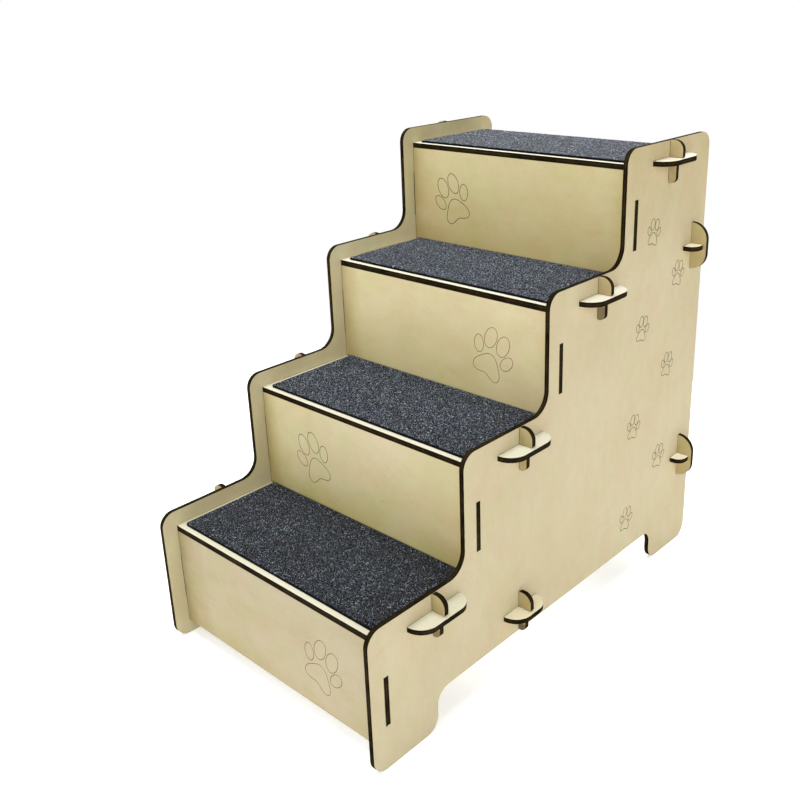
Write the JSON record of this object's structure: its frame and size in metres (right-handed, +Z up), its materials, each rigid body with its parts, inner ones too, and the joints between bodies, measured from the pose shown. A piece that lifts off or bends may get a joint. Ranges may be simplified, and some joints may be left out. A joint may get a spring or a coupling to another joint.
{
  "type": "pet stairs",
  "caption": "Flat-pack plywood pet stairs: stepped side panels, keyed treads, risers with flush tabs, braces and carpet pads.",
  "frame": {"origin": "on the floor, midway between the side panels and midway from front to back", "axes": "+X to the right of someone facing the steps, +Y to the back, +Z up"},
  "size_m": [0.402, 0.63, 0.579],
  "materials": {
    "panel_plywood": "bare laser-cut plywood, satin",
    "tread_plywood": "bare laser-cut plywood, satin",
    "riser_plywood": "bare laser-cut plywood, satin",
    "key_plywood": "bare laser-cut plywood, satin",
    "carpet": "needle-punched carpet, matt"
  },
  "bodies": {
    "frame": {"left_side_panel": "panel_plywood", "right_side_panel": "panel_plywood", "tread_1": "tread_plywood", "tread_2": "tread_plywood", "tread_3": "tread_plywood", "tread_4": "tread_plywood", "riser_1": "riser_plywood", "riser_2": "riser_plywood", "riser_3": "riser_plywood", "riser_4": "riser_plywood", "carpet_1": "carpet", "carpet_2": "carpet", "carpet_3": "carpet", "carpet_4": "carpet", "base_brace": "panel_plywood", "rear_brace_lower": "panel_plywood", "rear_brace_upper": "panel_plywood"},
    "tread_key_left_1": {"tread_key_left_1": "key_plywood"},
    "tread_key_left_2": {"tread_key_left_2": "key_plywood"},
    "tread_key_left_3": {"tread_key_left_3": "key_plywood"},
    "tread_key_left_4": {"tread_key_left_4": "key_plywood"},
    "tread_key_right_1": {"tread_key_right_1": "key_plywood"},
    "tread_key_right_2": {"tread_key_right_2": "key_plywood"},
    "tread_key_right_3": {"tread_key_right_3": "key_plywood"},
    "tread_key_right_4": {"tread_key_right_4": "key_plywood"},
    "base_key_left": {"base_key_left": "key_plywood"},
    "base_key_right": {"base_key_right": "key_plywood"},
    "rear_key_lower_left": {"rear_key_lower_left": "key_plywood"},
    "rear_key_lower_right": {"rear_key_lower_right": "key_plywood"},
    "rear_key_upper_left": {"rear_key_upper_left": "key_plywood"},
    "rear_key_upper_right": {"rear_key_upper_right": "key_plywood"}
  },
  "joints": [
    {"name": "tread_key_left_1_slide", "type": "slide", "parent": "frame", "child": "tread_key_left_1", "axis": [0, 0, 1], "range_m": [0, 0.03]},
    {"name": "tread_key_left_2_slide", "type": "slide", "parent": "frame", "child": "tread_key_left_2", "axis": [0, 0, 1], "range_m": [0, 0.03]},
    {"name": "tread_key_left_3_slide", "type": "slide", "parent": "frame", "child": "tread_key_left_3", "axis": [0, 0, 1], "range_m": [0, 0.03]},
    {"name": "tread_key_left_4_slide", "type": "slide", "parent": "frame", "child": "tread_key_left_4", "axis": [0, 0, 1], "range_m": [0, 0.03]},
    {"name": "tread_key_right_1_slide", "type": "slide", "parent": "frame", "child": "tread_key_right_1", "axis": [0, 0, 1], "range_m": [0, 0.03]},
    {"name": "tread_key_right_2_slide", "type": "slide", "parent": "frame", "child": "tread_key_right_2", "axis": [0, 0, 1], "range_m": [0, 0.03]},
    {"name": "tread_key_right_3_slide", "type": "slide", "parent": "frame", "child": "tread_key_right_3", "axis": [0, 0, 1], "range_m": [0, 0.03]},
    {"name": "tread_key_right_4_slide", "type": "slide", "parent": "frame", "child": "tread_key_right_4", "axis": [0, 0, 1], "range_m": [0, 0.03]},
    {"name": "base_key_left_slide", "type": "slide", "parent": "frame", "child": "base_key_left", "axis": [0, 0, 1], "range_m": [0, 0.03]},
    {"name": "base_key_right_slide", "type": "slide", "parent": "frame", "child": "base_key_right", "axis": [0, 0, 1], "range_m": [0, 0.03]},
    {"name": "rear_key_lower_left_slide", "type": "slide", "parent": "frame", "child": "rear_key_lower_left", "axis": [0, -1, 0], "range_m": [0, 0.03]},
    {"name": "rear_key_lower_right_slide", "type": "slide", "parent": "frame", "child": "rear_key_lower_right", "axis": [0, -1, 0], "range_m": [0, 0.03]},
    {"name": "rear_key_upper_left_slide", "type": "slide", "parent": "frame", "child": "rear_key_upper_left", "axis": [0, -1, 0], "range_m": [0, 0.03]},
    {"name": "rear_key_upper_right_slide", "type": "slide", "parent": "frame", "child": "rear_key_upper_right", "axis": [0, -1, 0], "range_m": [0, 0.03]}
  ]
}
